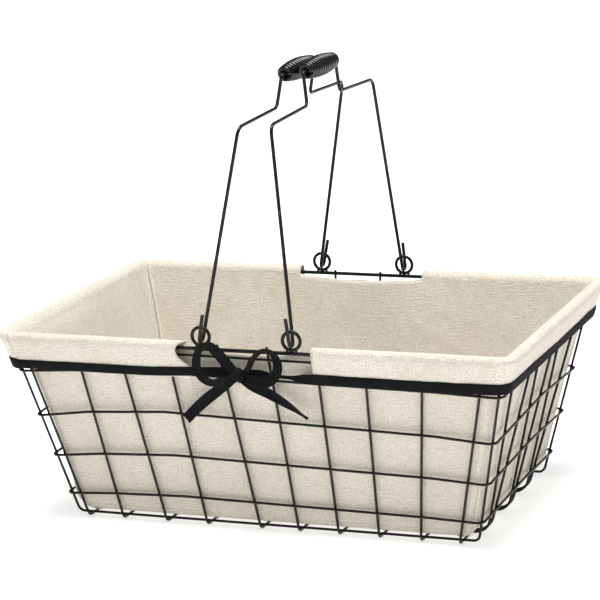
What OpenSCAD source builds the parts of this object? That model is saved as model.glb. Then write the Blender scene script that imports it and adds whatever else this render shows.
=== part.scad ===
// Wire market basket: a welded cage of round wires, four ring eyes on the rim,
// two bail handles with barrel-shaped coil grips, a sewn linen liner whose cuff
// folds over the rim, and a tape that ties the cuff down with a bow.
// Millimetres. +Z is up, -Y is the front (the bow's side), +X is to the right.
// The origin is on the floor, under the middle of the bounding box.

/* [Cage] */
// Length of the rim along X, between wire centres
rim_len = 436; // [426:1:444]
// Depth of the rim along Y, between wire centres
rim_dep = 289; // [270:1:300]
// Height of the rim wire's centre above the floor
rim_z = 164.5; // [160:0.5:175]
// Length of the base along X, between wire centres
base_len = 354; // [340:1:380]
// Depth of the base along Y, between wire centres
base_dep = 203; // [190:1:220]
// Radius of the rim wire
rim_r = 1.6; // [1.4:0.1:2]
// Radius of the cage wires
wire_r = 1.1; // [0.9:0.1:1.3]
// Corner radius of the rim in plan
rim_corner = 9; // [8:0.5:12]
// Heights of the hoops, from the lowest up
hoop_z = [24.5, 61.2, 99.5, 138, 157];
// How much each hoop bows, up in the middle of a side and down at the corners
hoop_bow = [2.5, 4, 5.5, 3, 1.5];
// Places of the front-to-back wires along X at the base
cross_base = [-168, -136, -96, -59, -11, 23, 58, 93, 129, 162];
// Places of the same wires along X at the rim
cross_top = [-204.5, -155, -116, -72, -26, 17, 58, 99, 148, 199];
// Places of the left-to-right wires along Y at the base
long_base = [-74, -67, -13, -6, 40, 47];
// Places of the same wires along Y at the rim
long_top = [-106, -42, -25, 26, 41, 98];

/* [Ring eyes] */
// Distance of each ring eye from the middle, along X
eye_x = 39.1; // [34:0.1:46]
// Radius of a ring eye at the middle of its wire
eye_ring_r = 7.5; // [7:0.1:8.5]
// Radius of a ring eye's wire
eye_wire_r = 1.4; // [1.2:0.1:1.6]

/* [Handles] */
// Radius of the handle wire
bail_r = 1.5; // [1.3:0.1:1.6]
// Height of a shoulder above the hinge axis
shoulder_h = 175.5; // [165:0.5:185]
// Distance of a shoulder from the middle, along Y
shoulder_y = 125; // [118:1:132]
// Height of the grip's seat corner above the hinge axis
seat_h = 178; // [172:0.5:186]
// Distance of a seat corner from the middle, along Y
seat_y = 40; // [38:0.5:44]
// Height of the grip's axis above the hinge axis
grip_h = 205.7; // [200:0.1:212]
// Inward lean of the left handle at rest, in degrees
lean_left = 10.8; // [10:0.1:11]
// Inward lean of the right handle at rest, in degrees
lean_right = 5.8; // [5:0.1:6]

/* [Grips] */
// Length of a grip
grip_len = 71; // [66:1:72]
// Outer radius in the middle of a grip
grip_mid_r = 9.2; // [8:0.1:9.3]
// Outer radius at the ends of a grip
grip_end_r = 6.4; // [6:0.1:7.5]
// Number of turns in a grip
grip_turns = 14; // [12:1:16]

/* [Liner and ribbon] */
// Thickness of the liner's cloth layers
cloth = 1.8; // [1.2:0.1:1.8]
// Height of the cuff's top edge above the floor
cuff_top = 171; // [170.5:0.1:172]
// Height of the cuff's lower edge above the floor
cuff_low = 138; // [134:0.5:142]
// Height of the ribbon band's upper edge above the floor
band_top = 148.5; // [146:0.5:151]
// Left end of both notches in the cuff
notch_left = -62; // [-66:1:-58]
// Right end of both notches in the cuff
notch_right = 57; // [55:1:62]
// Depth that the liner's edge is cut below the rim wire inside a notch
notch_depth = 6.5; // [5:0.5:12]

/* [Hidden] */

$fn = 32;
bend_fn = 96;
wire_colour = [0.06, 0.06, 0.065];
linen_colour = [0.87, 0.84, 0.77];
ribbon_colour = [0.04, 0.04, 0.045];
weld = 0.1;                                // how far welded wires sink into each other
bead = 0.05;                               // how far a joint's bead stands out of its wire
bead_turn = 37;                            // turns a bead about its wire, edges out of line
joint_gap = 0.1;                           // length of wire that a joint's bead takes up
nub = 3.5;                                 // what an upright stands above the rim's centre
wire_top = rim_z + nub;
low_z = wire_r;                            // layer of the front-to-back wires
long_z = low_z + 2 * wire_r - weld;        // layer of the left-to-right wires
cross_bend = 6;
long_bend = 14;
edge_bend = 6;
top_hx = rim_len / 2 - rim_r - wire_r + weld;
top_hy = rim_dep / 2 - rim_r - wire_r + weld;
hoop_out = 2.16;                           // a hoop's centre outside an upright's centre
wall_fall = atan((top_hy - base_dep / 2) / (rim_z - low_z));
edge_slant = (90 + wall_fall) / 2;
edge_reach = cross_bend / sin(edge_slant) - (cross_bend - 2 * wire_r + weld);
edge_y = base_dep / 2 - edge_reach * cos(edge_slant);
edge_z = low_z + edge_reach * sin(edge_slant);
post_in = rim_corner * (1 - sqrt(0.5)) + (rim_r + wire_r - weld) * sqrt(0.5);
eye_z = rim_z + rim_r + eye_wire_r + eye_ring_r - weld / 4;
hinge_z = eye_z - (eye_ring_r - eye_wire_r - bail_r) + 0.35;
hook_half = 4;                             // half the hook's width
hook_bend = 3.6;
stub_h = 23.5;
stub_splay = 1;
liner_out = -wire_r - 0.5;                 // outer face of the liner, from an upright's centre
liner_in = liner_out - cloth;
liner_low = 5.5;
liner_chamfer_z = 15;
liner_chamfer_x = 8;
liner_top = cuff_top - cloth - 0.3;
cuff_in = rim_r + rim_dep / 2 - top_hy + 0.4;
cuff_out = cuff_in + cloth;
roll = 4;                                  // bevel on the cuff's inner top edge
band_in = cuff_out + 0.3;
band_out = band_in + 0.9;
seam = 0.3;                                // gap left at a sewn edge
knot_x = -10;
knot_z = 143;
knot_half = 6;
bow_back = -rim_dep / 2 - 7;               // back of the loops, clear of the hooks' stubs
bow_front = bow_back - 5;
back_reach = rim_dep / 2 + hook_half + stub_splay + bail_r;
shift_y = (-bow_front - back_reach) / 2;   // centres the bounding box on the origin

// Half-size of the cage at height z, at the centres of the upright wires
function half_x(z) = base_len / 2 + (top_hx - base_len / 2) * (z - low_z) / (rim_z - low_z);
function half_y(z) = base_dep / 2 + (top_hy - base_dep / 2) * (z - low_z) / (rim_z - low_z);

// Centre of a corner post at height z: it starts at an edge wire and meets the rim's corner
function post(z) =
    let (t = (z - edge_z) / (rim_z - edge_z), x = half_x(edge_z))
        [x + (rim_len / 2 - post_in - x) * t, edge_y + (rim_dep / 2 - post_in - edge_y) * t];

// Corner radius of a hoop at height z, so that it touches the corner posts
function hoop_r(z) =
    let (a = half_x(z) + hoop_out - post(z).x, b = half_y(z) + hoop_out - post(z).y,
         g = 2 * wire_r - weld, s = a + b - g)
        s + sqrt(s * s - a * a - b * b + g * g);

function unit(v) = v / norm(v);
function turn_angle(a, p, b) = acos(min(1, unit(p - a) * unit(b - p)));
function tangent(a, p, b, r) = r * tan(turn_angle(a, p, b) / 2);

// Puts its children at p, with their Z axis turned along v
module along(p, v) {
    translate(p)
        rotate([0, acos(v.z / norm(v)), atan2(v.y, v.x)])
            children();
}

// Cylinder of radius r from a to b
module straight(a, b, r) {
    along(a, b - a)
        cylinder(h = norm(b - a), r = r);
}

// Bead that joins two stretches of a wire at p, where the wire runs along v
module joint(p, v, r) {
    along(p, v)
        rotate([0, 0, bead_turn])
            sphere(r = r + bead);
}

// Wire bend of radius br at corner p, between the directions from a and to b
module bend(a, p, b, br, r) {
    u = unit(p - a);
    v = unit(b - p);
    n = unit(v - (v * u) * u);
    w = cross(-n, u);
    c = p - u * tangent(a, p, b, br) + n * br;
    multmatrix([
        [-n.x, u.x, w.x, c.x],
        [-n.y, u.y, w.y, c.y],
        [-n.z, u.z, w.z, c.z],
        [0, 0, 0, 1]
    ])
        rotate_extrude(angle = turn_angle(a, p, b), $fn = bend_fn)
            translate([br, 0])
                circle(r = r);
}

// A wire's turn at corner p: a bend, or a plain joint where br is 0
module corner(a, p, b, br, r) {
    u = unit(p - a);
    v = unit(b - p);
    if (br > 0) {
        trim = tangent(a, p, b, br);
        bend(a, p, b, br, r);
        joint(p - u * trim, u, r);
        joint(p + v * trim, v, r);
    } else {
        joint(p, u + v, r);
    }
}

// Straight stretch of wire between corners p and q, which take up trims tp and tq
module stretch(p, q, tp, tq, r) {
    u = unit(q - p);
    straight(p + u * (tp + joint_gap), q - u * (tq + joint_gap), r);
}

// Open wire through the points, with one bend radius for each inner point
module open_wire(pts, bends, r) {
    last = len(pts) - 1;
    trims = [for (i = [0:last]) i == 0 || i == last
        ? -joint_gap : tangent(pts[i - 1], pts[i], pts[i + 1], bends[i - 1])];
    for (i = [0:last - 1])
        stretch(pts[i], pts[i + 1], trims[i], trims[i + 1], r);
    for (i = [1:last - 1])
        corner(pts[i - 1], pts[i], pts[i + 1], bends[i - 1], r);
}

// A point on the hoops' surface, at fractions fx and fy of the half-sizes
function hoop_point(fx, fy, z) = [fx * (half_x(z) + hoop_out), fy * (half_y(z) + hoop_out), z];

module rim_wire() {
    hx = rim_len / 2 - rim_corner;
    hy = rim_dep / 2 - rim_corner;
    color(wire_colour)
        translate([0, 0, rim_z]) {
            for (s = [-1, 1]) {
                straight([-hx, s * rim_dep / 2, 0], [hx, s * rim_dep / 2, 0], rim_r);
                straight([s * rim_len / 2, -hy, 0], [s * rim_len / 2, hy, 0], rim_r);
            }
            for (quarter = [0:3])
                translate([quarter == 0 || quarter == 3 ? hx : -hx, quarter < 2 ? hy : -hy, 0])
                    rotate([0, 0, 90 * quarter])
                        rotate_extrude(angle = 90, $fn = bend_fn)
                            translate([rim_corner, 0])
                                circle(r = rim_r);
        }
}

// Hoop number i: a rounded rectangle that bows a little along its long sides.
// Its two ends meet at a butt joint in the middle of the back.
module hoop(i) {
    z = hoop_z[i];
    bow = hoop_bow[i];
    low = z - bow;
    high = z + bow;
    r = hoop_r(low);
    butt = [0.1, 0, 0];
    color(wire_colour)
        open_wire(
            [
                hoop_point(0, 1, high) - butt, hoop_point(-1, 1, low), hoop_point(-1, 0, z),
                hoop_point(-1, -1, low), hoop_point(-0.75, -1, z + 0.2 * bow),
                hoop_point(-0.4, -1, high), hoop_point(0.75, -1, z - 0.25 * bow),
                hoop_point(1, -1, low), hoop_point(1, 0.1, z), hoop_point(1, 1, low),
                hoop_point(0, 1, high) + butt
            ],
            [r, 0, r, 0, 0, 0, r, 0, r], wire_r);
}

// Front-to-back wire number i: down the front, under the base and up the back
module cross_wire(i) {
    xb = cross_base[i];
    xt = cross_top[i];
    yb = half_y(low_z);
    yt = half_y(wire_top);
    color(wire_colour)
        open_wire(
            [[xt, -yt, wire_top], [xb, -yb, low_z], [xb, yb, low_z], [xt, yt, wire_top]],
            [cross_bend, cross_bend], wire_r);
}

// Left-to-right wire number i: down the left end, over the base and up the right end
module long_wire(i) {
    yb = long_base[i];
    yt = long_top[i];
    xb = half_x(long_z);
    xt = half_x(wire_top);
    color(wire_colour)
        open_wire(
            [[-xt, yt, wire_top], [-xb, yb, long_z], [xb, yb, long_z], [xt, yt, wire_top]],
            [long_bend, long_bend], wire_r);
}

// Wire along one long edge of the base, whose ends rise as the corner posts
module edge_wire(side) {
    top = post(wire_top);
    x = half_x(edge_z);
    color(wire_colour)
        open_wire(
            [
                [-top.x, side * top.y, wire_top], [-x, side * edge_y, edge_z],
                [x, side * edge_y, edge_z], [top.x, side * top.y, wire_top]
            ],
            [edge_bend, edge_bend], wire_r);
}

// Ring eye, standing on the rim wire on two short feet
module ring_eye(side_x, side_y) {
    foot_x = 4;
    foot_r = 1.1;
    foot_low = rim_z + rim_r - weld * 0.75;
    color(wire_colour)
        translate([side_x * eye_x, side_y * rim_dep / 2, 0]) {
            translate([0, 0, eye_z])
                rotate([90, 0, 0])
                    rotate_extrude($fn = bend_fn)
                        translate([eye_ring_r, 0])
                            circle(r = eye_wire_r);
            for (s = [-1, 1])
                translate([s * foot_x, 0, foot_low])
                    cylinder(h = eye_z - eye_ring_r * cos(asin(foot_x / eye_ring_r)) - foot_low,
                             r = foot_r);
        }
}

// Puts a handle's own upright frame at its hinge, leaning to its rest place
module at_hinge(side, lean) {
    translate([side * eye_x, 0, hinge_z])
        rotate([0, -side * lean, 0])
            children();
}

// Handle wire: hook, leg, shoulder, seat and grip run, and the same again
module bail() {
    y0 = rim_dep / 2;
    half = [
        [0, -(y0 + hook_half + stub_splay), stub_h],
        [0, -(y0 + hook_half), 0],
        [0, -(y0 - hook_half), 0],
        [0, -shoulder_y, shoulder_h],
        [0, -seat_y, seat_h],
        [0, -(seat_y - 1), grip_h]
    ];
    mirrored = [for (i = [len(half) - 1:-1:0]) [0, -half[i].y, half[i].z]];
    bends = [hook_bend, hook_bend, 8, 5, 3.5];
    color(wire_colour)
        open_wire(concat(half, mirrored), concat(bends, [for (i = [4:-1:0]) bends[i]]), bail_r);
}

// Outer radius of the grip at distance y from its middle
function barrel_r(y) = grip_end_r + (grip_mid_r - grip_end_r) * cos(90 * abs(2 * y / grip_len));

// Barrel of coil turns, touching each other, on the handle's grip run
module grip() {
    pitch = grip_len / grip_turns;
    turn_r = 1.9;
    wall = 2.4;
    skin = 1.1;
    steps = 8;
    ys = [for (i = [-steps:steps]) i * (grip_len / 2 - turn_r) / steps];
    color(wire_colour)
        translate([0, 0, grip_h])
            rotate([90, 0, 0]) {
                for (i = [0:grip_turns - 1]) {
                    y = (i + 0.5) * pitch - grip_len / 2;
                    rotate_extrude($fn = bend_fn)
                        translate([barrel_r(y) - turn_r, y])
                            circle(r = turn_r);
                }
                rotate_extrude($fn = bend_fn)
                    polygon(concat(
                        [for (y = ys) [barrel_r(y) - wall, y]],
                        [for (i = [2 * steps:-1:0]) [barrel_r(ys[i]) - skin, ys[i]]]));
            }
}

// Thin plate of the cage's plan at height z, grown by off and drawn in by draw along X
module plan_plate(z, off, draw = 0) {
    sliver = 0.01;
    r = max(1, hoop_r(z) - hoop_out + off);
    hx = half_x(z) + off - draw - r;
    hy = half_y(z) + off - r;
    translate([0, 0, z])
        linear_extrude(sliver)
            hull()
                for (sx = [-1, 1], sy = [-1, 1])
                    translate([sx * hx, sy * hy])
                        circle(r = r);
}

// Tapered block that follows the cage's walls from z0 to z1
module taper(z0, z1, off) {
    hull() {
        plan_plate(z0, off);
        plan_plate(z1, off);
    }
}

// Tapered block for the liner, drawn in at the ends of its base
module liner_block(off, low, high) {
    hull() {
        plan_plate(low, off, liner_chamfer_x);
        plan_plate(liner_chamfer_z, off);
        plan_plate(high, off);
    }
}

module liner_shell() {
    difference() {
        liner_block(liner_out, liner_low, liner_top);
        liner_block(liner_in, liner_low - 1, liner_top + 1);
    }
}

// Wedge that holds one wall of the liner, cut through the corners
module corner_wedge(half_angle, turn) {
    reach = 400;
    rotate([0, 0, turn])
        translate([0, -seam, -1])
            linear_extrude(rim_z * 2)
                polygon([[0, 0], [reach * tan(half_angle), -reach], [-reach * tan(half_angle), -reach]]);
}

// Room above the liner's edge inside a notch
module notch_room(side) {
    translate([notch_left, side * rim_dep / 2 - 20, rim_z - notch_depth])
        cube([notch_right - notch_left, 40, 30]);
}

module liner_wall(side) {
    corner = atan((half_x(80) - 10) / (half_y(80) - 10));
    color(linen_colour)
        difference() {
            intersection() {
                liner_shell();
                corner_wedge(corner, side < 0 ? 0 : 180);
            }
            notch_room(side);
        }
}

module liner_end(side) {
    corner = 90 - atan((half_x(80) - 10) / (half_y(80) - 10));
    color(linen_colour)
        intersection() {
            liner_shell();
            corner_wedge(corner, side * 90);
        }
}

module liner_base() {
    r = 4;
    hx = half_x(liner_low) - liner_chamfer_x + liner_in - seam - r;
    hy = half_y(liner_low) + liner_in - seam - r;
    color(linen_colour)
        translate([0, 0, liner_low])
            linear_extrude(cloth)
                hull()
                    for (sx = [-1, 1], sy = [-1, 1])
                        translate([sx * hx, sy * hy])
                            circle(r = r);
}

// One half of the cuff: the cap over the rim and the flap outside it
module cuff(side) {
    reach = 300;
    x0 = side < 0 ? -reach : notch_right;
    x1 = side < 0 ? notch_left : reach;
    color(linen_colour)
        intersection() {
            difference() {
                taper(cuff_low, cuff_top, cuff_out);
                taper(cuff_low - 1, cuff_top - cloth, cuff_in);
                taper(cuff_low - 1, cuff_top + 1, liner_in);
                hull() {
                    plan_plate(cuff_top - roll, liner_in);
                    plan_plate(cuff_top + 1, liner_in + roll + 1);
                }
            }
            translate([x0, -reach, 0])
                cube([x1 - x0, 2 * reach, reach]);
        }
}

module ribbon_band() {
    color(ribbon_colour)
        difference() {
            taper(cuff_low, band_top, band_out);
            taper(cuff_low - 1, band_top + 1, band_in);
        }
}

module bow_knot() {
    back = -half_y(band_top) - band_out - seam;
    color(ribbon_colour)
        translate([knot_x, back, knot_z])
            rotate([90, 0, 0])
                linear_extrude(back - bow_front)
                    hull()
                        for (sx = [-1, 1], sz = [-1, 1])
                            translate([sx * (knot_half - 3), sz * (knot_half - 3)])
                                circle(r = 3);
}

// Loop of the bow: a flat eyelet between the knot and its far round end
module bow_loop(side, reach, rise) {
    near_r = 4;
    far_r = 15;
    tape = 5;
    start = knot_half + seam;
    color(ribbon_colour)
        translate([knot_x, bow_back, knot_z])
            rotate([90, 0, 0])
                linear_extrude(bow_back - bow_front)
                    intersection() {
                        difference() {
                            hull() {
                                translate([side * start, 0]) circle(r = near_r);
                                translate([side * (reach - far_r), rise]) circle(r = far_r);
                            }
                            hull() {
                                translate([side * (start + tape), 0]) circle(r = near_r - 3);
                                translate([side * (reach - far_r), rise]) circle(r = far_r - tape);
                            }
                        }
                        translate([side < 0 ? -80 : start, -80])
                            square([80 - start, 160]);
                    }
}

// Tail of the bow, a flat strip from under the knot to its cut end
module bow_tail(side, end_x, end_z) {
    width = 9;
    thick = 1.2;
    top_y = -half_y(knot_z) - band_out - 2;
    end_y = -half_y(end_z) - hoop_out - wire_r - 2.5;
    top_z = knot_z - knot_half - seam - 1;
    color(ribbon_colour)
        hull() {
            translate([knot_x + side * 5 - width / 2, top_y - thick, top_z])
                cube([width, thick, 0.5]);
            translate([end_x - width / 2, end_y - thick, end_z])
                cube([width, thick, 0.5]);
        }
}

// Moves the whole basket so that its bounding box is centred on the origin
module placed() {
    translate([0, shift_y, 0])
        children();
}

placed() rim_wire();
placed() hoop(0);  // hoop_1
placed() hoop(1);  // hoop_2
placed() hoop(2);  // hoop_3
placed() hoop(3);  // hoop_4
placed() hoop(4);  // hoop_5
placed() cross_wire(0);  // cross_wire_1
placed() cross_wire(1);  // cross_wire_2
placed() cross_wire(2);  // cross_wire_3
placed() cross_wire(3);  // cross_wire_4
placed() cross_wire(4);  // cross_wire_5
placed() cross_wire(5);  // cross_wire_6
placed() cross_wire(6);  // cross_wire_7
placed() cross_wire(7);  // cross_wire_8
placed() cross_wire(8);  // cross_wire_9
placed() cross_wire(9);  // cross_wire_10
placed() long_wire(0);  // long_wire_1
placed() long_wire(1);  // long_wire_2
placed() long_wire(2);  // long_wire_3
placed() long_wire(3);  // long_wire_4
placed() long_wire(4);  // long_wire_5
placed() long_wire(5);  // long_wire_6
placed() edge_wire(-1);  // edge_wire_front
placed() edge_wire(1);  // edge_wire_back
placed() ring_eye(-1, -1);  // ring_eye_front_left
placed() ring_eye(1, -1);  // ring_eye_front_right
placed() ring_eye(-1, 1);  // ring_eye_back_left
placed() ring_eye(1, 1);  // ring_eye_back_right
placed() at_hinge(-1, lean_left) bail();  // bail_left
placed() at_hinge(1, lean_right) bail();  // bail_right
placed() at_hinge(-1, lean_left) grip();  // grip_left
placed() at_hinge(1, lean_right) grip();  // grip_right
placed() liner_base();
placed() liner_wall(-1);  // liner_front
placed() liner_wall(1);  // liner_back
placed() liner_end(-1);  // liner_left
placed() liner_end(1);  // liner_right
placed() cuff(-1);  // cuff_left
placed() cuff(1);  // cuff_right
placed() ribbon_band();
placed() bow_knot();
placed() bow_loop(-1, 34, 12);  // bow_loop_left
placed() bow_loop(1, 38, 10);  // bow_loop_right
placed() bow_tail(-1, -56, 99);  // bow_tail_left
placed() bow_tail(1, 44, 108);  // bow_tail_right
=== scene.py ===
"""Looks for the lined wire basket: its linen liner and cuff, the tape and its bow, the coil
grips, the welds, and the finish of every wire. Metres; +Z is up and -Y is the front."""

import math

import bmesh
import bpy
import numpy as np
from mathutils import Matrix, Quaternion, Vector, noise


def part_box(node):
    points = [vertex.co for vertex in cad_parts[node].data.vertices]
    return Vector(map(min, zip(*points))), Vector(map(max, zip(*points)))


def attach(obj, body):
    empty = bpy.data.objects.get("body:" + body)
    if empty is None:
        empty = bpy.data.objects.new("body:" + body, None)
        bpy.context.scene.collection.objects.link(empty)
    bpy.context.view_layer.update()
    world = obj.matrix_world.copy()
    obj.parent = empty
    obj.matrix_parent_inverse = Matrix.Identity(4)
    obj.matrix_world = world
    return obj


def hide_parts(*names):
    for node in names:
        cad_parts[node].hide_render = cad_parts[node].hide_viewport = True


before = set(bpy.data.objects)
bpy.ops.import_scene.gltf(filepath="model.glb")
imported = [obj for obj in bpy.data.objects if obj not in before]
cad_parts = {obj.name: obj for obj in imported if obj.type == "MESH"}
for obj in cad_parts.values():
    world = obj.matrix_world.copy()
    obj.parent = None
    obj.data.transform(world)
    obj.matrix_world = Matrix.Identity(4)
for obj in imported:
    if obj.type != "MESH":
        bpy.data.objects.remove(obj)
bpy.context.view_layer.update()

MM = 0.001
ROOT = "basket"

# The cage, from the rim's box and the cage's own driving sizes
rim_low, rim_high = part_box("rim_wire")
RIM_R = (rim_high.z - rim_low.z) / 2
RIM_Z = (rim_high.z + rim_low.z) / 2
MID_Y = (rim_high.y + rim_low.y) / 2
WIRE_R = 1.1 * MM
WELD = 0.1 * MM
LOW_Z = WIRE_R
BASE_HX, BASE_HY = 177 * MM, 101.5 * MM
TOP_HX = rim_high.x - 2 * RIM_R - WIRE_R + WELD
TOP_HY = rim_high.y - MID_Y - 2 * RIM_R - WIRE_R + WELD
LOW_CORNER, TOP_CORNER = 4.2 * MM, 6.6 * MM
WIRE_TOP = RIM_Z + 3.5 * MM
HOOP_OUT = 2.16 * MM
HOOP_Z = [24.5, 61.2, 99.5, 138, 157]
HOOP_BOW = [2.5, 4, 5.5, 3, 1.5]
CROSS_BASE = [-168, -136, -96, -59, -11, 23, 58, 93, 129, 162]
CROSS_TOP = [-204.5, -155, -116, -72, -26, 17, 58, 99, 148, 199]
LONG_BASE = [-74, -67, -13, -6, 40, 47]
LONG_TOP = [-106, -42, -25, 26, 41, 98]

# The liner and its cuff
CLOTH = 1.0 * MM
LINER_OFF = -2.5 * MM
FLOOR_Z = 6.3 * MM
WALL_TOP = 164 * MM
NOTCH = (-58.5 * MM, 57 * MM)
BACK_SCOOP, FRONT_SCOOP = 3.2 * MM, 3.5 * MM
HEM = (11.4, 13.8)                         # heights of the two rows of stitches, mm

# The camera: lens and distance, where it looks and from which side
LENS, SENSOR, REACH = 160.4, 36, 2.2813
LOOK_AT = Vector((-7 * MM, MID_Y, 173.5 * MM))
AZIMUTH, ELEVATION, ROLL = (math.radians(a) for a in (20.83, 12.94, -2.23))
WORLD_LIGHT = 0.23
FLOOR_GLOW, FAR_GLOW = 0.6, 0.5            # near the basket, and added far from it

# The tape
TAPE_Z = 143 * MM
TAPE_W = 9.2 * MM
TAPE_T = 0.7 * MM
TAPE_COLS = 9                              # points across it
KNOT = Vector((-4 * MM, MID_Y - 152.5 * MM, 146.5 * MM))


def mix(a, b, t):
    """The value t of the way from a to b."""
    return a + (b - a) * t


def smooth(t):
    """0 below 0 and 1 above 1, with an S-shaped rise between them."""
    t = np.clip(t, 0, 1)
    return t * t * (3 - 2 * t)


def ripple(point, size, seed):
    """Smooth noise from about -1 to 1 at a point, with waves about size metres long."""
    shift = Vector((seed * 7.3, seed * 3.1, seed * 5.7))
    return noise.noise(Vector(point) / size + shift)


def half(z):
    """Half-sizes of the cage at height z, at the centres of the uprights."""
    t = (z - LOW_Z) / (RIM_Z - LOW_Z)
    return mix(BASE_HX, TOP_HX, t), mix(BASE_HY, TOP_HY, t)


# ---------------------------------------------------------------- materials

class Nodes:
    """A new material with a Principled shader, and short calls that add and link its nodes."""

    def __init__(self, name, roughness, **constants):
        self.material = bpy.data.materials.new(name)
        self.material.use_nodes = True
        self.tree = self.material.node_tree
        self.shader = self.tree.nodes["Principled BSDF"]
        self.shader.inputs["Roughness"].default_value = roughness
        for socket, value in constants.items():
            self.shader.inputs[socket.replace("_", " ")].default_value = value

    def add(self, kind, settings=(), **inputs):
        node = self.tree.nodes.new("ShaderNode" + kind)
        for key, value in dict(settings).items():
            setattr(node, key, value)
        for key, value in inputs.items():
            self.put(node.inputs[int(key[1:]) if key[1:].isdigit() else key], value)
        return node

    def put(self, socket, value):
        if isinstance(value, bpy.types.NodeSocket):
            self.tree.links.new(value, socket)
        else:
            socket.default_value = value

    def math(self, operation, a, b=0.0):
        return self.add("Math", {"operation": operation}, _0=a, _1=b).outputs[0]

    def scaled(self, vector, scale):
        return self.add("Mapping", _0=vector, Scale=scale).outputs[0]

    def noise(self, vector, scale, detail=2.0):
        node = self.add("TexNoise", Vector=vector, Scale=scale, Detail=detail)
        return node.outputs["Fac"]

    def ramp(self, value, low, high):
        node = self.add("MapRange", {"interpolation_type": "SMOOTHSTEP"}, Value=value)
        node.inputs["From Min"].default_value = low
        node.inputs["From Max"].default_value = high
        return node.outputs[0]

    def blend(self, factor, a, b):
        node = self.add("Mix", {"data_type": "RGBA"}, _0=factor, _6=a, _7=b)
        return node.outputs[2]

    def colour(self, value):
        self.put(self.shader.inputs["Base Color"], value)

    def bump(self, height, distance, strength=1.0):
        node = self.add("Bump", Height=height, Distance=distance, Strength=strength)
        self.put(self.shader.inputs["Normal"], node.outputs[0])


def coated_wire(name, dark, light, roughness, wear_and_highlight, gloss):
    """Black coated wire: a slightly pebbled film, thin where it is handled, with warm grey marks that
    are partly rubbed film and partly a painted warm highlight.
    """
    m = Nodes(name, roughness, Specular_IOR_Level=gloss, Coat_Weight=gloss / 2, Coat_Roughness=0.15)
    place = m.add("TexCoord").outputs["Object"]
    patches = m.noise(place, 55, 3)
    specks = m.noise(place, 900, 2)
    scuffs_and_highlight = m.ramp(m.noise(place, 160, 5), 0.58, 0.74)
    film = m.blend(m.ramp(patches, 0.3, 0.7), dark, light)
    # Warm grey marks: partly rubbed-through film, partly a painted warm highlight on the wire
    m.colour(m.blend(m.math("MULTIPLY", scuffs_and_highlight, wear_and_highlight), film, (0.09, 0.08, 0.068, 1)))
    m.put(m.shader.inputs["Roughness"],
          m.math("ADD", m.math("MULTIPLY", patches, 0.3), roughness - 0.15))
    m.bump(m.math("ADD", specks, m.math("MULTIPLY", patches, 0.6)), 0.06 * MM, 0.5)
    return m.material


def linen():
    """Plain-woven natural linen, with thick slubs both ways, a few dark flecks and painted shade in the
    weave's low places.
    """
    m = Nodes("linen", 0.92, Sheen_Weight=0.2, Sheen_Roughness=0.5)
    cloth = m.add("Attribute", {"attribute_name": "cloth"}).outputs["Vector"]
    place = m.add("TexCoord").outputs["Object"]
    wander = m.noise(cloth, 45, 2)
    bent = m.add("VectorMath", {"operation": "ADD"}, _0=cloth,
                 _1=m.add("CombineXYZ", X=m.math("MULTIPLY", wander, 1.2 * MM),
                          Y=m.math("MULTIPLY", wander, -1.5 * MM)).outputs[0]).outputs[0]
    split = m.add("SeparateXYZ", Vector=bent)
    thread = 2 * math.pi / (0.9 * MM)
    across = m.math("SINE", m.math("MULTIPLY", split.outputs[0], thread))
    along = m.math("SINE", m.math("MULTIPLY", split.outputs[1], thread))
    weave = m.math("MULTIPLY", across, along)
    weft = m.noise(m.scaled(bent, (110, 1150, 1)), 1, 3)
    warp = m.noise(m.scaled(bent, (1150, 110, 1)), 1, 3)
    slubs = m.math("MAXIMUM", m.ramp(weft, 0.5, 0.78), m.ramp(warp, 0.54, 0.8))
    shaded_hollows = m.math("MAXIMUM", m.ramp(m.math("SUBTRACT", 1.0, weft), 0.54, 0.8),
                     m.ramp(m.math("SUBTRACT", 1.0, warp), 0.56, 0.8))
    tone = m.noise(place, 14, 3)
    flecks = m.ramp(m.noise(m.scaled(bent, (420, 900, 1)), 1, 4), 0.61, 0.69)
    speckle = m.noise(cloth, 1100, 3)
    stain = m.ramp(m.noise(place, 33, 4), 0.5, 0.8)
    base = m.blend(m.ramp(tone, 0.3, 0.7), (0.72, 0.67, 0.575, 1), (0.81, 0.765, 0.675, 1))
    base = m.blend(m.math("MULTIPLY", stain, 0.45), base, (0.60, 0.55, 0.445, 1))
    base = m.blend(m.ramp(speckle, 0.60, 0.40), base, (0.52, 0.475, 0.39, 1))
    base = m.blend(m.math("MULTIPLY", slubs, 0.55), base, (0.92, 0.89, 0.825, 1))
    # Painted shade: the low places of the weave, which the bump also lowers, are darkened
    base = m.blend(m.math("MULTIPLY", shaded_hollows, 0.8), base, (0.43, 0.385, 0.31, 1))
    m.colour(m.blend(m.math("MULTIPLY", flecks, 0.7), base, (0.33, 0.28, 0.21, 1)))
    height = m.math("ADD", m.math("MULTIPLY", weave, 0.22), m.math("MULTIPLY", slubs, 0.8))
    height = m.math("SUBTRACT", height, m.math("MULTIPLY", shaded_hollows, 0.6))
    m.bump(height, 0.4 * MM, 0.9)
    return m.material


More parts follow.
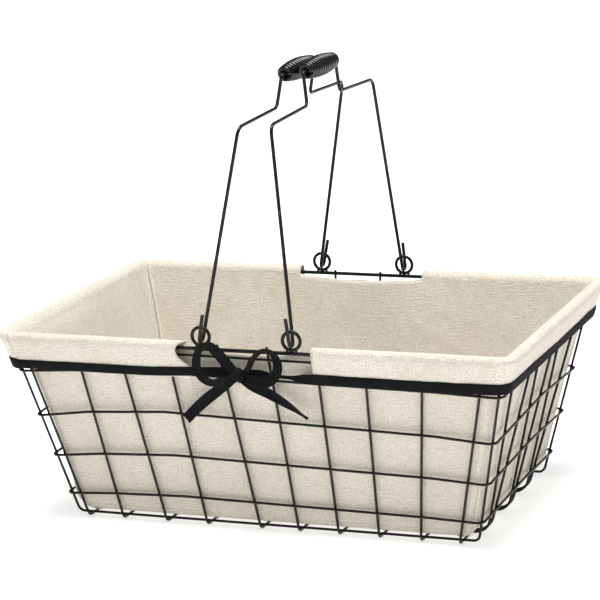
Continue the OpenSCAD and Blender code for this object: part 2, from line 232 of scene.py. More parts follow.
def tape_cloth():
    """Black cotton twill tape: fine slanting ribs, a firmer selvedge and a little lint."""
    m = Nodes("tape", 0.95, Sheen_Weight=0.03, Sheen_Roughness=0.45, Specular_IOR_Level=0.08)
    cloth = m.add("Attribute", {"attribute_name": "cloth"}).outputs["Vector"]
    split = m.add("SeparateXYZ", Vector=cloth)
    slant = m.math("ADD", split.outputs[0], split.outputs[1])
    ribs = m.math("SINE", m.math("MULTIPLY", slant, 2 * math.pi / (0.85 * MM)))
    fuzz = m.noise(cloth, 1600, 3)
    lint = m.ramp(m.noise(m.scaled(cloth, (500, 1400, 1)), 1, 3), 0.66, 0.76)
    dye = m.noise(cloth, 70, 2)
    black = m.blend(m.ramp(dye, 0.3, 0.7), (0.003, 0.003, 0.0033, 1), (0.0065, 0.0065, 0.007, 1))
    # Painted highlight: the raised twill ribs are made a little lighter than their grooves
    black = m.blend(m.math("MULTIPLY", m.math("ADD", ribs, 1.0), 0.25), black,
                    (0.012, 0.012, 0.0125, 1))
    m.colour(m.blend(m.math("MULTIPLY", lint, 0.3), black, (0.03, 0.029, 0.028, 1)))
    m.bump(m.math("ADD", m.math("MULTIPLY", ribs, 0.5), fuzz), 0.16 * MM, 0.6)
    return m.material


def thread_cloth():
    """Twisted cotton sewing thread, a little lighter than the linen."""
    m = Nodes("thread", 0.8, Sheen_Weight=0.2)
    place = m.add("TexCoord").outputs["Object"]
    twist = m.noise(place, 2200, 2)
    m.colour(m.blend(twist, (0.74, 0.69, 0.6, 1), (0.9, 0.87, 0.8, 1)))
    m.bump(twist, 0.1 * MM, 0.5)
    return m.material


def floor_paint():
    """A white studio floor that glows a little, and more away from the basket."""
    m = Nodes("floor_paint", 0.85, Specular_IOR_Level=0.1, Emission_Color=(1, 1, 1, 1))
    place = m.add("TexCoord").outputs["Object"]
    m.colour(m.blend(m.noise(place, 3, 2), (0.86, 0.86, 0.86, 1), (0.88, 0.88, 0.88, 1)))
    away = m.ramp(m.add("VectorMath", {"operation": "LENGTH"}, _0=place).outputs["Value"], 0.4, 2)
    m.put(m.shader.inputs["Emission Strength"],
          m.math("ADD", m.math("MULTIPLY", away, FAR_GLOW), FLOOR_GLOW))
    return m.material


# ---------------------------------------------------------------- mesh helpers

def new_object(name, points, faces, material, cloth=None):
    """A smooth-shaded mesh object; cloth is each point's place in the flat cloth, in metres."""
    mesh = bpy.data.meshes.new(name)
    mesh.from_pydata([tuple(p) for p in points], [], [tuple(f) for f in faces])
    mesh.polygons.foreach_set("use_smooth", [True] * len(mesh.polygons))
    mesh.materials.append(material)
    if cloth is not None:
        flat = np.zeros((len(points), 3), np.float32)
        flat[:, :2] = cloth
        mesh.attributes.new("cloth", "FLOAT_VECTOR", "POINT").data.foreach_set(
            "vector", flat.ravel())
    mesh.update()
    obj = bpy.data.objects.new(name, mesh)
    bpy.context.scene.collection.objects.link(obj)
    return obj


def grid_faces(rows, cols, wrap=False, keep=None):
    """Quads of a rows by cols grid of points; keep(row, col) may leave some out."""
    faces = []
    for i in range(rows - 1):
        for j in range(cols if wrap else cols - 1):
            k = (j + 1) % cols
            if keep is None or keep(i, j):
                faces.append((i * cols + j, i * cols + k, (i + 1) * cols + k, (i + 1) * cols + j))
    return faces


def thicken(obj, thickness, levels=0):
    """Gives a sheet its thickness, half of it to each side, and may subdivide it."""
    modifier = obj.modifiers.new("thickness", "SOLIDIFY")
    modifier.thickness = thickness
    modifier.offset = 0
    if levels:
        soften = obj.modifiers.new("soften", "SUBSURF")
        soften.levels = soften.render_levels = levels
    return obj


def spline(values, samples):
    """Points along a smooth curve through the values, evenly spread over its stretches."""
    values = np.array(values, float)
    last = len(values) - 1
    out = []
    for t in np.linspace(0, last, samples):
        i = min(int(t), last - 1)
        f = t - i
        a, b, c, d = (values[min(max(i + k, 0), last)] for k in (-1, 0, 1, 2))
        out.append(0.5 * (2 * b + (c - a) * f + (2 * a - 5 * b + 4 * c - d) * f ** 2
                          + (3 * b - a - 3 * c + d) * f ** 3))
    return np.array(out)


def tube(points, radius, sides, up, round_ends=True):
    """Points and faces of a round wire along the points; up is the way its first ring faces."""
    points = np.array(points, float)
    if round_ends:
        first, last = points[0] - points[1], points[-1] - points[-2]
        first, last = first / np.linalg.norm(first), last / np.linalg.norm(last)
        caps = [(1.0, 0.05), (0.85, 0.55), (0.4, 0.9)]
        points = np.vstack([[points[0] + first * radius * 0.5 * a for a, _ in caps], points,
                            [points[-1] + last * radius * 0.5 * a for a, _ in caps[::-1]]])
        widths = [b for _, b in caps] + [1.0] * (len(points) - 6) + [b for _, b in caps[::-1]]
    else:
        widths = [1.0] * len(points)
    tangents = np.gradient(points, axis=0)
    tangents /= np.linalg.norm(tangents, axis=1)[:, None]
    up = np.array(up, float)
    ring = []
    for p, t, w in zip(points, tangents, widths):
        side = np.cross(t, up)
        side /= np.linalg.norm(side)
        up = np.cross(side, t)
        for k in range(sides):
            a = 2 * math.pi * k / sides
            ring.append(p + radius * w * (math.cos(a) * side + math.sin(a) * up))
    faces = grid_faces(len(points), sides, wrap=True)
    faces.append(tuple(range(sides)))
    last_row = (len(points) - 1) * sides
    faces.append(tuple(range(last_row + sides - 1, last_row - 1, -1)))
    return ring, faces


def place(obj, body, slot):
    """Says which body a piece rides on; slot is not used."""
    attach(obj, body)
    return obj


# ---------------------------------------------------------------- camera, light and floor

def camera_and_lights():
    """The camera first, then three soft lamps, a dim white world and a plain white floor."""
    data = bpy.data.cameras.new("camera")
    data.sensor_width, data.lens = SENSOR, LENS
    data.clip_start, data.clip_end = 0.1, 50
    camera = bpy.data.objects.new("camera", data)
    bpy.context.scene.collection.objects.link(camera)
    back = Vector((math.sin(AZIMUTH) * math.cos(ELEVATION),
                   -math.cos(AZIMUTH) * math.cos(ELEVATION), math.sin(ELEVATION)))
    camera.rotation_mode = "QUATERNION"
    camera.location = LOOK_AT + back * REACH
    camera.rotation_quaternion = (-back).to_track_quat("-Z", "Y") @ Quaternion((0, 0, 1), ROLL)
    bpy.context.scene.camera = camera

    lamps = [("fill", (2.0, -0.9, 1.0), 1.4, 2, (1, 1, 1)),
             ("top", (0.1, -0.25, 2.4), 1.2, 90, (1, 0.995, 0.98)),
             ("glint", (0.9, -2.2, 1.9), 0.2, 2.5, (1, 1, 1))]
    for name, spot, size, power, colour in lamps:
        lamp = bpy.data.lights.new(name, "AREA")
        lamp.size, lamp.energy, lamp.color = size, power, colour
        lamp_object = bpy.data.objects.new(name, lamp)
        lamp_object.location = spot
        aim = Vector((0, 0, 0.15)) - Vector(spot)
        lamp_object.rotation_euler = aim.to_track_quat("-Z", "Y").to_euler()
        bpy.context.scene.collection.objects.link(lamp_object)

    world = bpy.data.worlds.new("studio")
    bpy.context.scene.world = world
    world.use_nodes = True
    tree = world.node_tree
    seen = tree.nodes["Background"]
    seen.inputs["Color"].default_value = (1, 1, 1, 1)
    seen.inputs["Strength"].default_value = 1.0
    light = tree.nodes.new("ShaderNodeBackground")
    light.inputs["Color"].default_value = (1, 1, 1, 1)
    light.inputs["Strength"].default_value = WORLD_LIGHT
    rays = tree.nodes.new("ShaderNodeLightPath")
    pick = tree.nodes.new("ShaderNodeMixShader")
    tree.links.new(rays.outputs["Is Camera Ray"], pick.inputs[0])
    tree.links.new(light.outputs[0], pick.inputs[1])
    tree.links.new(seen.outputs[0], pick.inputs[2])
    tree.links.new(pick.outputs[0], tree.nodes["World Output"].inputs[0])
    bpy.context.scene.view_settings.view_transform = "Standard"

    side = 12.0
    corners = [(-side, -side, 0), (side, -side, 0), (side, side, 0), (-side, side, 0)]
    floor = new_object("studio_floor", corners, [(0, 1, 2, 3)], floor_paint())


# ---------------------------------------------------------------- the liner and its cuff

def plan_columns():
    """Places round the basket, as (fx, fy, turn): the straight sides and the corners' arcs."""
    reach = TOP_HX - TOP_CORNER
    straight_x = [x / reach for x in NOTCH]
    near = 1 - np.array([0.35, 0.7, 1.05, 1.4, 1.8, 2.2, 2.7, 3.3, 4, 5, 6.2, 8, 10.5, 14]) * MM / reach
    front = np.unique(np.concatenate([
        np.linspace(-1, straight_x[0], 42), np.linspace(straight_x[0], straight_x[1], 39),
        [straight_x[0] + 0.006, straight_x[1] - 0.006], np.linspace(straight_x[1], 1, 42),
        near, -near]))
    near_side = 1 - (1 - near) * reach / (TOP_HY - TOP_CORNER)
    sides = np.unique(np.concatenate([np.linspace(-1, 1, 72), near_side, -near_side]))
    arc = np.radians(np.linspace(0, 90, 17))[1:-1]
    runs = [[(x, -1, -math.pi / 2) for x in front], [(1, -1, a - math.pi / 2) for a in arc],
            [(1, y, 0) for y in sides], [(1, 1, a) for a in arc],
            [(x, 1, math.pi / 2) for x in front[::-1]],
            [(-1, 1, a + math.pi / 2) for a in arc],
            [(-1, y, math.pi) for y in sides[::-1]], [(-1, -1, a + math.pi) for a in arc]]
    return np.array([c for run in runs for c in run])


def plan_point(column, z, off):
    """Point of the basket's plan at height z, off outside the uprights, and its way out."""
    fx, fy, turn = column
    hx, hy = half(z)
    r = mix(LOW_CORNER, TOP_CORNER, z / RIM_Z) + off
    draw = 8 * MM * max(0.0, 1 - (z - FLOOR_Z) / (13 * MM)) ** 1.6
    out = np.array([math.cos(turn), math.sin(turn), 0.0])
    x = fx * (hx + off - r - draw) + r * out[0]
    y = fy * (hy + off - r) + r * out[1] + MID_Y
    return np.array([x, y, z]), out


def in_notch(column):
    """How far a column is into a notch, from 0 at its edge to 1 in its middle; -1 outside."""
    fx, fy, turn = column
    x = fx * (TOP_HX - TOP_CORNER)
    if abs(abs(turn) - math.pi / 2) > 1e-6 or not NOTCH[0] < x < NOTCH[1]:
        return -1.0
    return 1 - abs(2 * (x - NOTCH[0]) / (NOTCH[1] - NOTCH[0]) - 1)


# How far the liner's left end stands in from the cage, at heights above the floor (mm)
END_IN = ([6, 25, 60, 97, 134, 155, 164], [0, 1.5, 4, 5.5, 6.5, 5, 1.5])


def end_draw(fx, fy, z):
    """Shift along X that draws the liner's ends in, most of all the left one's front."""
    reach = np.interp(z / MM, *END_IN) * MM * mix(1.0, 0.1, smooth((fy + 1) / 2))
    return reach * (max(0.0, -fx) ** 3 - 0.1 * max(0.0, fx) ** 3)


def wall_give(point, out, corner):
    """How far the cloth of a wall stands in from a taut sheet, at a point of it."""
    t = (point[2] - FLOOR_Z) / (WALL_TOP - FLOOR_Z)
    belly = math.sin(math.pi * min(max(t, 0), 1))
    slack = 1.8 if out[0] < -0.5 else 1.2
    wave = 0.5 + 0.5 * ripple(point, 0.085, 1.0)
    crease = ripple((point[0] + point[2] * 0.4, point[1], point[2] * 0.35), 0.03, 2.0)
    crease = 1.3 * (1 - 2 * abs(crease)) ** 3
    fine = ripple(point, 0.011, 3.0)
    give = belly * (slack * 0.5 + slack * 0.9 * wave) + 0.5 * belly * crease + 0.2 * fine
    bend = (2.0 + 0.9 * math.sin(3.1 * t + 0.6) + 0.3 * math.sin(11 * t)) * MM
    fold = math.exp(-((corner - bend) / (0.5 * MM)) ** 2) * smooth(t * 5) * smooth((1 - t) * 14)
    back_left = point[0] < 0 < point[1] and abs(out[0]) < 0.7
    tuck = -fold * (4.6 if back_left else 0.6)
    ridge = 0.7 * math.exp(-((corner - bend - 1.8 * MM) / (1.2 * MM)) ** 2) * smooth(t * 5)
    hem = 1.0 * sum(math.exp(-((point[2] / MM - z) / 1.0) ** 2) for z in HEM)
    return (give + tuck + ridge + hem) * MM


def corner_distance(column, z):
    """Distance round the plan from the middle of the nearest corner."""
    fx, fy, turn = column
    hx, hy = half(z)
    r = mix(LOW_CORNER, TOP_CORNER, z / RIM_Z) + LINER_OFF
    arc = abs((turn % (math.pi / 2)) - math.pi / 4)
    if abs(fx) == 1 and abs(fy) == 1 and arc < math.pi / 4 - 1e-6:
        return arc * r
    straight = (1 - abs(fx)) * (hx - r) if abs(fy) == 1 else (1 - abs(fy)) * (hy - r)
    return straight + math.pi / 4 * r


def wall_point(column, z):
    """Point of the liner's wall at height z, with all its slack and creases, and its way out."""
    point, out = plan_point(column, z, LINER_OFF)
    point = point - out * wall_give(point, out, corner_distance(column, z))
    point[0] += end_draw(column[0], column[1], z)
    return point, out


# Cuff profile over the rim: (outside the uprights, height), in millimetres
CUFF_PROFILE = [(-2.5, 164), (-2.45, 166.2), (-1.5, 168.4), (0.2, 169.9), (2.4, 170.45),
                (4.9, 170.0), (7.0, 168.4), (8.1, 165.6), (8.0, 162.5), (7.4, 159),
                (6.8, 155.5), (6.3, 152), (5.9, 149.4), (5.7, 147), (5.7, 144), (5.6, 141.5),
                (5.6, 139.4)]
CUFF_ROWS = 34


def wall_top(column):
    """Height where the wall ends: under the rim, and lower in the notches."""
    depth = in_notch(column)
    if depth < 0:
        return WALL_TOP
    scoop = BACK_SCOOP if column[1] > 0 else FRONT_SCOOP
    return WALL_TOP - scoop * math.sin(math.pi / 2 * depth) - 0.6 * MM * min(1, depth * 20)


def cuff_point(column, off, z, t):
    """Point of the cuff, t of the way from inside to its lower edge, with its soft waves."""
    point, out = plan_point(column, z, off)
    outer = smooth((t - 0.3) / 0.25)
    puff = 0.6 * ripple(point, 0.06, 4.0) + 0.3 * ripple(point, 0.02, 5.0)
    tied = math.exp(-((z - 149.5 * MM) / (7 * MM)) ** 2)
    gather = 0.45 * tied * ripple((point[0], point[1], point[2] * 0.2), 0.007, 6.0)
    dent = ripple((point[0] * 0.5, point[1] * 0.5, point[2] * 1.5), 0.012, 15.0)
    puff += 0.25 * dent * (1 - tied)
    inner = wall_give(point, out, corner_distance(column, z)) * (1 - smooth(t / 0.12))
    lift = 0.35 * MM * ripple(point, 0.06, 7.0) * math.sin(math.pi * min(1, t * 2))
    point = point + out * (outer * (puff + gather) * MM - inner)
    point[0] += end_draw(column[0], column[1], WALL_TOP) * (1 - smooth(t / 0.12))
    point[2] += min(lift, 0.2 * MM)
    flat = 0.2 * smooth((-point[0] - 40 * MM) / (150 * MM)) * smooth(point[1] / (90 * MM))
    point[2] -= flat * max(0.0, point[2] - RIM_Z)
    # The cuff's left end leans in towards the tape on the front
    if column[1] == -1 and abs(out[1]) > 0.99:
        near = smooth(1 - (NOTCH[0] - point[0]) / (22 * MM)) if point[0] < -50 * MM else 0
        bulge = 7 * smooth((t - 0.58) / 0.2) + 6.5 * math.exp(-((t - 0.2) / 0.17) ** 2) \
            - 2 * math.exp(-((t - 0.48) / 0.12) ** 2)
        point[0] += bulge * MM * near
    return point


def make_liner(material):
    """The walls and the cuff as one sheet on a grid of rows and columns, and the floor panel."""
    columns = plan_columns()
    count = len(columns)
    wall_t = np.concatenate([np.linspace(0, 0.09, 7), np.linspace(0.09, 1, 38)[1:]])
    profile = spline([(a * MM, b * MM) for a, b in CUFF_PROFILE], CUFF_ROWS)[1:]
    points, cloth = [], []
    top_edge = [plan_point(c, RIM_Z, 0)[0] for c in columns]
    along = np.concatenate([[0], np.cumsum([np.linalg.norm(b - a) for a, b in
                                            zip(top_edge, top_edge[1:])])])
    foot = 5.5 * MM
    for t in wall_t:
        for c, u in zip(columns, along):
            z = mix(FLOOR_Z, wall_top(c), t)
            point, out = wall_point(c, z)
            low = max(0.0, 1 - (z - FLOOR_Z) / foot)
            point -= out * foot * (1 - math.sqrt(max(0.0, 1 - low ** 2)))
            points.append(point)
            cloth.append((u, z))
    walls = len(wall_t)
    length = WALL_TOP
    previous = profile[0]
    for k, (off, z) in enumerate(profile):
        length += float(np.linalg.norm(np.array([off, z]) - previous))
        previous = np.array([off, z])
        for c, u in zip(columns, along):
            points.append(cuff_point(c, off, z, (k + 1) / len(profile)))
            cloth.append((u, length))
    open_part = [in_notch(c) >= 0 for c in columns]

    def keep(i, j):
        return i < walls - 1 or not (open_part[j] or open_part[(j + 1) % count])

    rows = walls + len(profile)
    faces = grid_faces(rows, count, wrap=True, keep=keep)
    used = sorted({v for f in faces for v in f})
    index = {v: i for i, v in enumerate(used)}
    liner = new_object("liner_walls_and_cuff", [points[v] for v in used],
                       [[index[v] for v in f] for f in faces], material,
                       [cloth[v] for v in used])
    thicken(liner, CLOTH)
    place(liner, ROOT, "linen")
    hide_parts("liner_front", "liner_back", "liner_left", "liner_right",
                "cuff_left", "cuff_right")

    rings = 26
    floor_points, floor_cloth = [(0, MID_Y, FLOOR_Z + 0.4 * MM)], [(0.0, 0.0)]
    for k in range(1, rings + 1):
        t = k / rings
        for c in columns:
            edge, out = wall_point(c, FLOOR_Z)
            edge -= out * foot
            p = mix(np.array([0, MID_Y, FLOOR_Z]), edge, t)
            p[2] += (0.5 * ripple(p, 0.07, 8.0) + 0.15 * ripple(p, 0.02, 9.0) + 0.5) \
                * MM * smooth((1 - t) * 8)
            floor_points.append(p)
            floor_cloth.append((p[0], p[1]))
    floor_faces = [(0, 1 + j, 1 + (j + 1) % count) for j in range(count)]
    floor_faces += [tuple(1 + v for v in f) for f in grid_faces(rings, count, wrap=True)]
    base = new_object("liner_floor", floor_points, floor_faces, material, floor_cloth)
    thicken(base, CLOTH)
    place(base, ROOT, "linen")
    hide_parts("liner_base")
    return liner, base, columns


def stitch_row(points, outs, stitch=2.9 * MM, gap=1.1 * MM, radius=0.36 * MM):
    """Points and faces of a row of stitches along the points, lying on their out side."""
    points, outs = np.array(points), np.array(outs)
    run = np.concatenate([[0], np.cumsum(np.linalg.norm(np.diff(points, axis=0), axis=1))])
    all_points, all_faces = [], []
    start = 0.0
    while start + stitch < run[-1]:
        at = start + stitch * np.array([0.0, 0.18, 0.5, 0.82, 1.0])
        centre = np.stack([np.interp(at, run, points[:, k]) for k in range(3)], 1)
        out = np.stack([np.interp(at, run, outs[:, k]) for k in range(3)], 1)
        height = np.array([-0.2, 0.12, 0.2, 0.12, -0.2])[:, None] * MM
        ring, faces = tube(centre + out * height, radius, 5, out[2], round_ends=False)
        all_faces += [tuple(len(all_points) + v for v in f) for f in faces]
        all_points += ring
        start += stitch + gap
    return all_points, all_faces


def make_seams(liner, columns, material):
    """Sewing thread: two rows round the foot of the walls, and one down each corner seam."""
    points, faces = [], []

    def add(row, outs):
        p, f = stitch_row(row, outs)
        faces.extend(tuple(len(points) + v for v in face) for face in f)
        points.extend(p)

    closed = list(columns) + [columns[0]]
    for z, side in ((HEM[0] * MM, 1), (HEM[1] * MM, 1), (HEM[1] * MM, -1)):
        row, outs = [], []
        for c in closed:
            p, out = wall_point(c, z)
            row.append(p + out * side * CLOTH / 2)
            outs.append(out * side)
        add(row, outs)
    for fx, fy in ((-1, -1), (1, -1), (1, 1), (-1, 1)):
        turn = math.atan2(fy, fx) % (2 * math.pi)
        quarter = math.pi / 4
        mid = turn - turn % (math.pi / 2) + quarter
        for shift, side in ((0.16, 1), (-0.2, -1)):
            row, outs = [], []
            for z in np.linspace(24 * MM, 160 * MM, 40):
                p, out = wall_point((fx, fy, mid + shift), z)
                row.append(p + out * side * CLOTH / 2)
                outs.append(out * side)
            add(row, outs)
    threads = new_object("liner_stitches", points, faces, material)
    return place(threads, ROOT, "linen")


# ---------------------------------------------------------------- the tape and its bow

def strip(name, path, material, samples, cup, seed):
    """A tape along the path. Each place is (x, y, z, width, tilt) in millimetres and degrees:
    tilt turns the tape's width from square to the path in the front plane towards the eye."""
    places = spline(path, samples)
    centre = places[:, :3] * MM
    tangent = np.gradient(centre, axis=0)
    tangent /= np.linalg.norm(tangent, axis=1)[:, None]
    eye = np.array([0.0, -1.0, 0.0])
    cols = TAPE_COLS
    points, cloth = [], []
    run = 0.0
    for i, (p, t) in enumerate(zip(centre, tangent)):
        run += float(np.linalg.norm(p - centre[i - 1])) if i else 0.0
        square = np.cross(eye, t)
        square /= np.linalg.norm(square)
        tilt = math.radians(places[i, 4])
        depth = eye - t * (eye @ t)
        depth /= max(np.linalg.norm(depth), 1e-6)
        across = math.cos(tilt) * square + math.sin(tilt) * depth
        face = np.cross(t, across)
        width = places[i, 3] * MM
        for k in range(cols):
            f = 2 * k / (cols - 1) - 1
            q = p + across * width / 2 * f + face * cup * MM * (f * f - 0.4)
            q = q + face * 0.22 * MM * ripple(q, 0.006, seed)
            points.append(q)
            cloth.append((run, f * width / 2))
    obj = new_object(name, points, grid_faces(len(centre), cols), material, cloth)
    thicken(obj, TAPE_T, 1)
    # Allows for tape that is modelled narrower than TAPE_CUT
    return place(obj, ROOT, "ribbon")


def make_band(material, columns):
    """The tape round the cuff. It rises a little to the bow, and twists just right of it."""
    cols = TAPE_COLS
    points, cloth = [], []
    run, last = 0.0, None
    for c in columns:
        base, out = plan_point(c, TAPE_Z, 0)
        front = c[1] == -1 and abs(out[1]) > 0.99
        x = base[0] / MM
        rise = 3.4 * math.exp(-((x + 12) / 52) ** 2) if front else 0.0
        sag = 0.7 * ripple(base, 0.09, 11.0) + 0.25 * ripple(base, 0.03, 12.0)
        narrow = math.exp(-((x - 30) / 15) ** 4) if front else 0.0
        pinch = math.exp(-((x + 4) / 9) ** 2) if front else 0.0
        side = smooth((x + 60) / 120) if front else 1.0
        width = TAPE_W * mix(0.86, 1.02, side) * (1 - 0.62 * narrow) * (1 - 0.3 * pinch)
        tilt = math.radians(-48 * narrow)
        z0 = TAPE_Z + (rise + sag) * MM
        run += float(np.linalg.norm(base - last)) if last is not None else 0.0
        last = base
        for k in range(cols):
            f = 2 * k / (cols - 1) - 1
            z = z0 + width / 2 * f * math.cos(tilt)
            p, _ = plan_point(c, z, 7.0 * MM)
            wavy = 0.25 * ripple(p, 0.012, 13.0) + 0.18 * ripple(p, 0.005, 14.0)
            p = p + out * (wavy * MM + width / 2 * f * math.sin(tilt) - 0.35 * MM * f * f)
            points.append(p)
            cloth.append((run, f * TAPE_W / 2))
    count = len(columns)
    faces = [(j * cols + k, ((j + 1) % count) * cols + k, ((j + 1) % count) * cols + k + 1,
              j * cols + k + 1) for j in range(count) for k in range(cols - 1)]
    band = new_object("tape_band", points, faces, material, cloth)
    thicken(band, TAPE_T, 1)
    place(band, ROOT, "ribbon")
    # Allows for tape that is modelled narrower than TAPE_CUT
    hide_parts("ribbon_band")


def make_bow(material):
    """Two loops, two tails and the knot, as lengths of the same tape."""
    y = KNOT.y / MM
    left = strip("bow_loop_left_tape", [
        (-4, y, 147.5, 6, 20), (-9, y - 1.5, 151.5, 7.5, 18), (-15, y - 2.2, 158, 9, 15),
        (-22, y - 1.8, 165.5, 8.5, 30), (-30, y - 0.5, 169.8, 8, 52), (-37, y - 0.2, 166.3, 8, 34),
        (-40, y - 1, 158, 8.2, 12), (-39, y - 1.6, 149, 8.6, 8), (-33.5, y - 1.4, 141.8, 8.8, 14),
        (-25.5, y - 0.8, 139.3, 8.4, 28), (-16, y, 142, 8, 30), (-6, y + 0.6, 145.5, 6, 20)],
        material, 90, cup=0.5, seed=21.0)
    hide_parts("bow_loop_left")
    right = strip("bow_loop_right_tape", [
        (-3, y, 147, 6, 20), (1.5, y - 0.6, 149.5, 7, 48), (5.3, y - 1.2, 154, 7.5, 62),
        (8.5, y - 1.4, 160.5, 8, 66), (14, y - 1, 166.3, 8, 60), (20.5, y - 0.4, 168.3, 8, 50),
        (27, y - 0.6, 164.5, 8.6, 26), (30.3, y - 1.4, 157, 8.8, 8), (29, y - 1.8, 149.5, 8.8, 10),
        (23.5, y - 1.6, 143.8, 9, 14), (15.5, y - 1, 141.3, 9, 12), (6.5, y - 0.4, 143.3, 8.5, 10),
        (-2, y + 0.5, 145.5, 6.5, 10)], material, 96, cup=0.5, seed=22.0)
    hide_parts("bow_loop_right")
    left_tail = strip("bow_tail_left_tape", [
        (-4, y + 0.5, 146.5, 6, 10), (-9.5, y + 0.8, 142.5, 7, 6), (-17, y + 4.4, 137, 8, 4),
        (-27, y + 8.6, 129.8, 9.3, 2), (-38, y + 12.4, 121.5, 9.6, -4), (-49, y + 15.8, 112, 9.2, 0),
        (-60, y + 18.8, 101.3, 9.2, 6)], material, 60, cup=0.7, seed=23.0)
    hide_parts("bow_tail_left")
    right_tail = strip("bow_tail_right_tape", [
        (-4, y + 0.8, 146, 6, -10), (1.5, y + 1, 141, 7.5, -4), (8, y + 4.6, 136, 9, 0),
        (18, y + 9, 130, 9.4, 6), (28.5, y + 12.6, 122.8, 8.6, 16), (38, y + 15.4, 115.8, 7, 34),
        (43.5, y + 16.8, 111.3, 5.4, 50), (47.5, y + 17.4, 108.8, 4.6, 40)],
        material, 60, cup=1.1, seed=24.0)
    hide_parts("bow_tail_right")

    wraps = 30
    lean = math.radians(-28)
    along = np.array([math.cos(lean), 0, math.sin(lean)])
    up = np.array([-math.sin(lean), 0, math.cos(lean)])
    eye = np.array([0, -1.0, 0])
    points, cloth = [], []
    cols = 11
    for i in range(wraps):
        a = 2 * math.pi * i / wraps
        for k in range(cols):
            f = 2 * k / (cols - 1) - 1
            round_it = 1 - 0.28 * f ** 4 - 0.10 * (1 - f * f)
            fold = 1 + 0.05 * math.sin(5 * a + 3 * f) + 0.04 * math.sin(9 * f + 2 * a)
            p = np.array(KNOT) + along * 4.9 * MM * f
            p = p + (up * math.sin(a) * 5.6 + eye * math.cos(a) * 3.9) * MM * round_it * fold
            points.append(p)
            cloth.append((a * 5 * MM, f * 4.9 * MM))
    faces = [(i * cols + k, ((i + 1) % wraps) * cols + k, ((i + 1) % wraps) * cols + k + 1,
              i * cols + k + 1) for i in range(wraps) for k in range(cols - 1)]
    knot = new_object("bow_knot_tape", points, faces, material, cloth)
    thicken(knot, 0.9 * MM, 1)
    place(knot, ROOT, "ribbon")
    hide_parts("bow_knot")


# ---------------------------------------------------------------- grips, welds and wires

def make_grip(name, node, body, material, hand):
    """A grip as one close-wound coil of thick wire that swells in the middle."""
    low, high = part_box(node)
    centre = (low + high) / 2
    reach = (high.y - low.y) / 2
    mid_r = (high.z - low.z) / 2
    end_r = 6.4 * MM
    wire = 1.95 * MM
    turns = 14
    steps = 44
    points = []
    for i in range(turns * steps - steps // 3):
        a = 2 * math.pi * i / steps
        y = mix(-reach + wire, reach - wire, i / (turns * steps - steps // 3 - 1))
        barrel = end_r + (mid_r - end_r) * math.cos(math.pi / 2 * abs(y / reach))
        r = barrel - wire
        points.append((centre.x + r * math.cos(a), centre.y + hand * y,
                       centre.z + r * math.sin(a)))
    ring, faces = tube(points, wire, 12, (0, 1, 0))
    grip = new_object(name, ring, faces, material)
    place(grip, body, "grip_wire")
    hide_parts(node)
    return grip


def hoop_height(i, x=None, y=None):
    """Height of hoop i where it passes place x of the front, or place y of an end."""
    z, bow = HOOP_Z[i], HOOP_BOW[i]
    if x is not None:
        return np.interp(x, [-1, -0.75, -0.4, 0.75, 1],
                         [z - bow, z + 0.2 * bow, z + bow, z - 0.25 * bow, z - bow]) * MM
    return np.interp(y, [-1, 0, 1], [z - bow, z, z - bow]) * MM


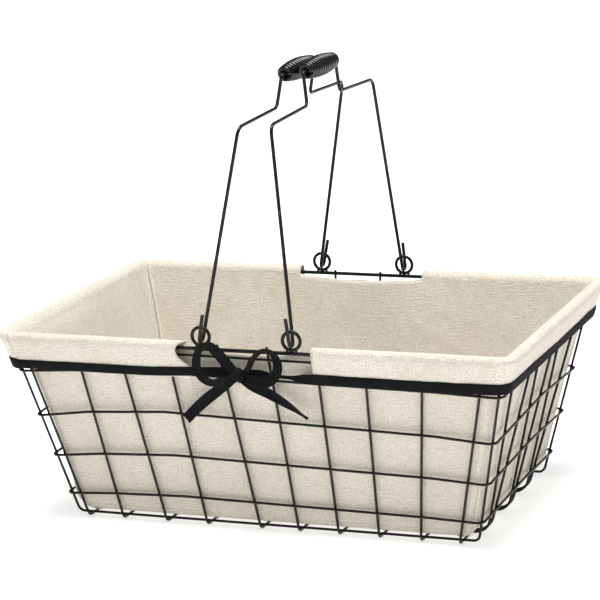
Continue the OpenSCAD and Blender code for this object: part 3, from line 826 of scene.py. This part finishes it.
def make_welds(material):
    """The small flattened beads where the wires are welded to each other."""
    places = []

    def upright(base, top, z, low):
        return mix(base, top, (z - low) / (WIRE_TOP - low)) * MM

    for base, top in zip(CROSS_BASE, CROSS_TOP):
        for side in (-1, 1):
            for i in range(len(HOOP_Z)):
                x = upright(base, top, HOOP_Z[i] * MM, LOW_Z)
                hx, hy = half(HOOP_Z[i] * MM)
                if side < 0:
                    z = hoop_height(i, x=x / hx)
                else:
                    z = (HOOP_Z[i] + HOOP_BOW[i] * (1 - 2 * abs(x / hx))) * MM
                x = upright(base, top, z, LOW_Z)
                hx, hy = half(z)
                places.append(((x, MID_Y + side * (hy + HOOP_OUT / 2), z), (0, side, 0)))
            x = upright(base, top, RIM_Z, LOW_Z)
            hx, hy = half(RIM_Z)
            places.append(((x, MID_Y + side * (hy + WIRE_R), RIM_Z), (0, side, 0)))
        for y in LONG_BASE:
            places.append(((base * MM, MID_Y + y * MM, 2 * WIRE_R), (0, 0, 1)))
    for base, top in zip(LONG_BASE, LONG_TOP):
        for side in (-1, 1):
            for i in range(len(HOOP_Z)):
                y = upright(base, top, HOOP_Z[i] * MM, 3 * WIRE_R)
                hx, hy = half(HOOP_Z[i] * MM)
                z = hoop_height(i, y=y / hy)
                hx, hy = half(z)
                places.append(((side * (hx + HOOP_OUT / 2), MID_Y + y, z), (side, 0, 0)))
            y = upright(base, top, RIM_Z, 3 * WIRE_R)
            hx, hy = half(RIM_Z)
            places.append(((side * (hx + WIRE_R), MID_Y + y, RIM_Z), (side, 0, 0)))
    bm = bmesh.new()
    for k, (spot, out) in enumerate(places):
        turn = Vector(out).to_track_quat("Z", "Y").to_matrix().to_4x4()
        size = 1 + 0.12 * math.sin(k * 2.4)
        shape = Matrix.Diagonal((1.55 * size, 1.45, 0.85, 1))
        made = bmesh.ops.create_icosphere(bm, subdivisions=2, radius=1.02 * MM,
                                          matrix=Matrix.Translation(spot) @ turn @ shape)
        for v in made["verts"]:
            v.co += (v.co - Vector(spot)) * 0.10 * noise.noise(v.co / (0.9 * MM))
    mesh = bpy.data.meshes.new("weld_beads")
    bm.to_mesh(mesh)
    bm.free()
    mesh.polygons.foreach_set("use_smooth", [True] * len(mesh.polygons))
    mesh.materials.append(material)
    welds = bpy.data.objects.new("weld_beads", mesh)
    bpy.context.scene.collection.objects.link(welds)
    return place(welds, ROOT, "cage_wire")


def finish_wires(cage, handle):
    """Puts the coated finish on every wire that is kept from the CAD."""
    for name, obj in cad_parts.items():
        if obj.hide_render:
            continue
        material = handle if name.startswith("bail") else cage
        for slot in obj.material_slots:
            slot.material = material


camera_and_lights()
linen_cloth, thread, tape = linen(), thread_cloth(), tape_cloth()
cage_wire = coated_wire("cage_wire", (0.003, 0.003, 0.0035, 1), (0.008, 0.0078, 0.0075, 1),
                        0.34, 0.2, 0.18)
handle_wire = coated_wire("handle_wire", (0.004, 0.0038, 0.0035, 1), (0.009, 0.0085, 0.0078, 1),
                          0.28, 0.4, 0.2)
grip_wire = coated_wire("grip_wire", (0.002, 0.002, 0.0022, 1), (0.005, 0.005, 0.0053, 1),
                        0.2, 0.1, 0.34)

liner, liner_base, plan = make_liner(linen_cloth)
stitches = make_seams(liner, plan, thread)
make_band(tape, plan)
make_bow(tape)
make_grip("grip_left_coil", "grip_left", "grip_roll_left", grip_wire, 1)
make_grip("grip_right_coil", "grip_right", "grip_roll_right", grip_wire, 1)
make_welds(cage_wire)
finish_wires(cage_wire, handle_wire)
